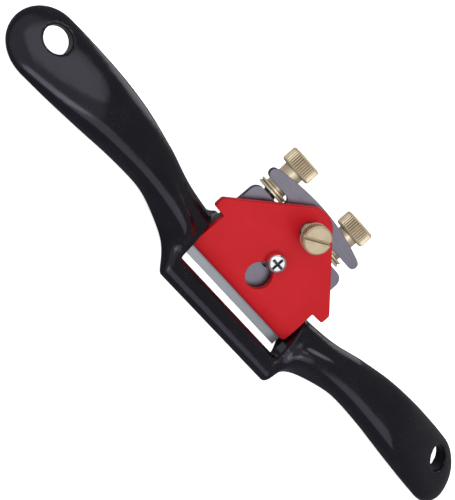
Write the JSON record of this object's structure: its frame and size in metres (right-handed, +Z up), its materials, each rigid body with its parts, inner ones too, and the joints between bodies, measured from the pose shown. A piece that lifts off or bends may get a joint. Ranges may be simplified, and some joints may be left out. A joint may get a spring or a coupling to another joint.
{
  "type": "spokeshave",
  "caption": "Flat-soled metal spokeshave: two-handled cast body, bedded blade under a screwed lever cap, and knurled nuts that set the blade's depth.",
  "frame": {"origin": "middle of the toe's sole face, 8 mm in front of the blade's cutting edge", "axes": "+X along the handles, to the right when the toe of the sole faces away; +Y from the toe to the heel of the sole; +Z up from the sole"},
  "size_m": [0.2108, 0.0532, 0.0342],
  "materials": {
    "black_enamel": "glossy black enamel on cast iron",
    "blade_steel": "ground and tempered tool steel",
    "stud_steel": "bright threaded steel",
    "red_enamel": "satin red enamel",
    "brass": "turned and knurled brass",
    "zinc_plate": "bright plated steel"
  },
  "bodies": {
    "body": {"body_casting": "black_enamel", "stud_left": "stud_steel", "stud_right": "stud_steel"},
    "blade": {"blade": "blade_steel"},
    "nut_left": {"adjusting_nut_left": "brass"},
    "nut_right": {"adjusting_nut_right": "brass"},
    "cap": {"lever_cap": "red_enamel"},
    "thumb": {"thumb_screw": "brass"},
    "screw": {"centre_screw": "zinc_plate"}
  },
  "joints": [
    {"name": "nut_left_turn", "type": "hinge", "parent": "blade", "child": "nut_left", "pos_m": [-0.014, 0.0365, 0.0203], "axis": [0, 0.7071, 0.7071], "range_deg": [-555, 555]},
    {"name": "blade_feed", "type": "slide", "parent": "body", "child": "blade", "axis": [0, 0.7071, 0.7071], "range_m": [-0.0012, 0.0012]},
    {"name": "nut_right_turn", "type": "hinge", "parent": "blade", "child": "nut_right", "pos_m": [0.014, 0.0365, 0.0203], "axis": [0, 0.7071, 0.7071], "range_deg": [-555, 555]},
    {"name": "cap_slide", "type": "slide", "parent": "body", "child": "cap", "axis": [0, 0.7071, 0.7071], "range_m": [0, 0.0064]},
    {"name": "thumb_turn", "type": "hinge", "parent": "cap", "child": "thumb", "pos_m": [0, 0.02462, 0.02808], "axis": [0, -0.7071, 0.7071], "range_deg": [-90, 720]},
    {"name": "screw_turn", "type": "hinge", "parent": "body", "child": "screw", "pos_m": [0, 0.01854, 0.01493], "axis": [0, -0.7071, 0.7071], "range_deg": [-90, 720]}
  ],
  "couplings": [
    {"joint": "nut_left_turn", "follows": "blade_feed", "rad_per_m": 7854},
    {"joint": "nut_right_turn", "follows": "blade_feed", "rad_per_m": 7854}
  ]
}
